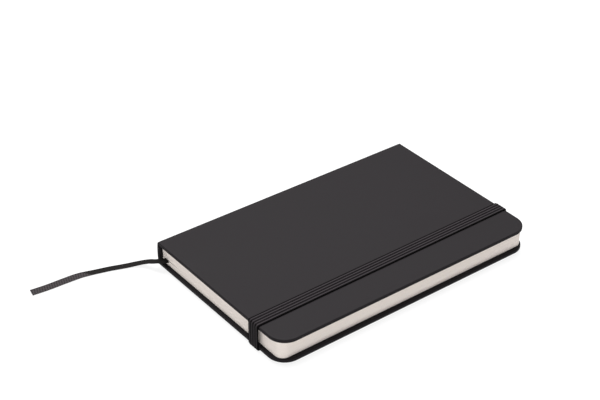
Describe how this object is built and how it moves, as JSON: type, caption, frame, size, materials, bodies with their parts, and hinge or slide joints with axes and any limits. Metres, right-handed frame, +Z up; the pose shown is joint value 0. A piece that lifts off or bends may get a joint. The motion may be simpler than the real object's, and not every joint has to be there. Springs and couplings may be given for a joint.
{
  "type": "sketchbook",
  "caption": "Closed pocket hardcover sketchbook with a flat spine, rounded fore-edge corners, an elastic closure band and a ribbon marker.",
  "frame": {"origin": "on the surface that the book lies on, under the middle of the closed book", "axes": "+X from the spine to the fore-edge, +Y from the tail to the head, +Z up from the back cover to the front cover"},
  "size_m": [0.1067, 0.1956, 0.0135],
  "materials": {
    "cover_skin": "soft-touch matte charcoal artificial leather",
    "board": "grey bookbinding board",
    "endpaper": "uncoated off-white endpaper",
    "page_paper": "uncoated off-white drawing paper",
    "lining_paper": "uncoated lining paper",
    "thread": "linen thread",
    "ribbon_fabric": "woven ribbon",
    "elastic_fabric": "ribbed woven elastic"
  },
  "bodies": {
    "back": {"back_board": "board", "back_cover_skin": "cover_skin", "back_pastedown": "endpaper", "back_flyleaf": "endpaper", "section_08": "page_paper", "section_09": "page_paper", "section_10": "page_paper", "rear_lining": "lining_paper", "rear_sewing_thread": "thread", "ribbon_inner": "ribbon_fabric", "ribbon_free_end": "ribbon_fabric", "elastic_tail_anchor": "elastic_fabric", "elastic_head_anchor": "elastic_fabric"},
    "spine": {"spine_card": "board", "spine_skin": "cover_skin"},
    "front_cover": {"front_board": "board", "front_cover_skin": "cover_skin", "front_pastedown": "endpaper"},
    "front_pages": {"front_flyleaf": "endpaper", "section_01": "page_paper", "section_02": "page_paper", "section_03": "page_paper", "section_04": "page_paper", "section_05": "page_paper", "section_06": "page_paper", "section_07": "page_paper", "front_lining": "lining_paper", "front_sewing_thread": "thread"},
    "leaf_a": {"leaf_a": "page_paper"},
    "leaf_b": {"leaf_b": "page_paper"},
    "elastic": {"elastic_loop": "elastic_fabric"}
  },
  "joints": [
    {"name": "pages_open", "type": "hinge", "parent": "back", "child": "front_pages", "pos_m": [-0.04395, 0, 0.00675], "axis": [0, -1, 0], "range_deg": [0, 180]},
    {"name": "spine_turn", "type": "hinge", "parent": "back", "child": "spine", "pos_m": [-0.045, 0, 0.0008], "axis": [0, -1, 0], "range_deg": [0, 90]},
    {"name": "front_cover_turn", "type": "hinge", "parent": "spine", "child": "front_cover", "pos_m": [-0.045, 0, 0.0127], "axis": [0, -1, 0], "range_deg": [0, 90]},
    {"name": "leaf_a_turn", "type": "hinge", "parent": "back", "child": "leaf_a", "pos_m": [-0.04395, 0, 0.00675], "axis": [0, -1, 0], "range_deg": [0, 175]},
    {"name": "leaf_b_turn", "type": "hinge", "parent": "back", "child": "leaf_b", "pos_m": [-0.04395, 0, 0.00675], "axis": [0, -1, 0], "range_deg": [0, 166]},
    {"name": "elastic_release", "type": "hinge", "parent": "back", "child": "elastic", "pos_m": [0.0329, 0, 0], "axis": [0, 1, 0], "range_deg": [0, 90], "deforming": ["elastic_loop"]}
  ],
  "couplings": [
    {"joint": "spine_turn", "follows": "pages_open", "ratio": 0.5},
    {"joint": "front_cover_turn", "follows": "pages_open", "ratio": 0.5},
    {"joint": "leaf_a_turn", "follows": "pages_open", "ratio": 0.97},
    {"joint": "leaf_b_turn", "follows": "pages_open", "ratio": 0.92},
    {"joint": "elastic_release", "follows": "pages_open", "ratio": 0.5}
  ]
}
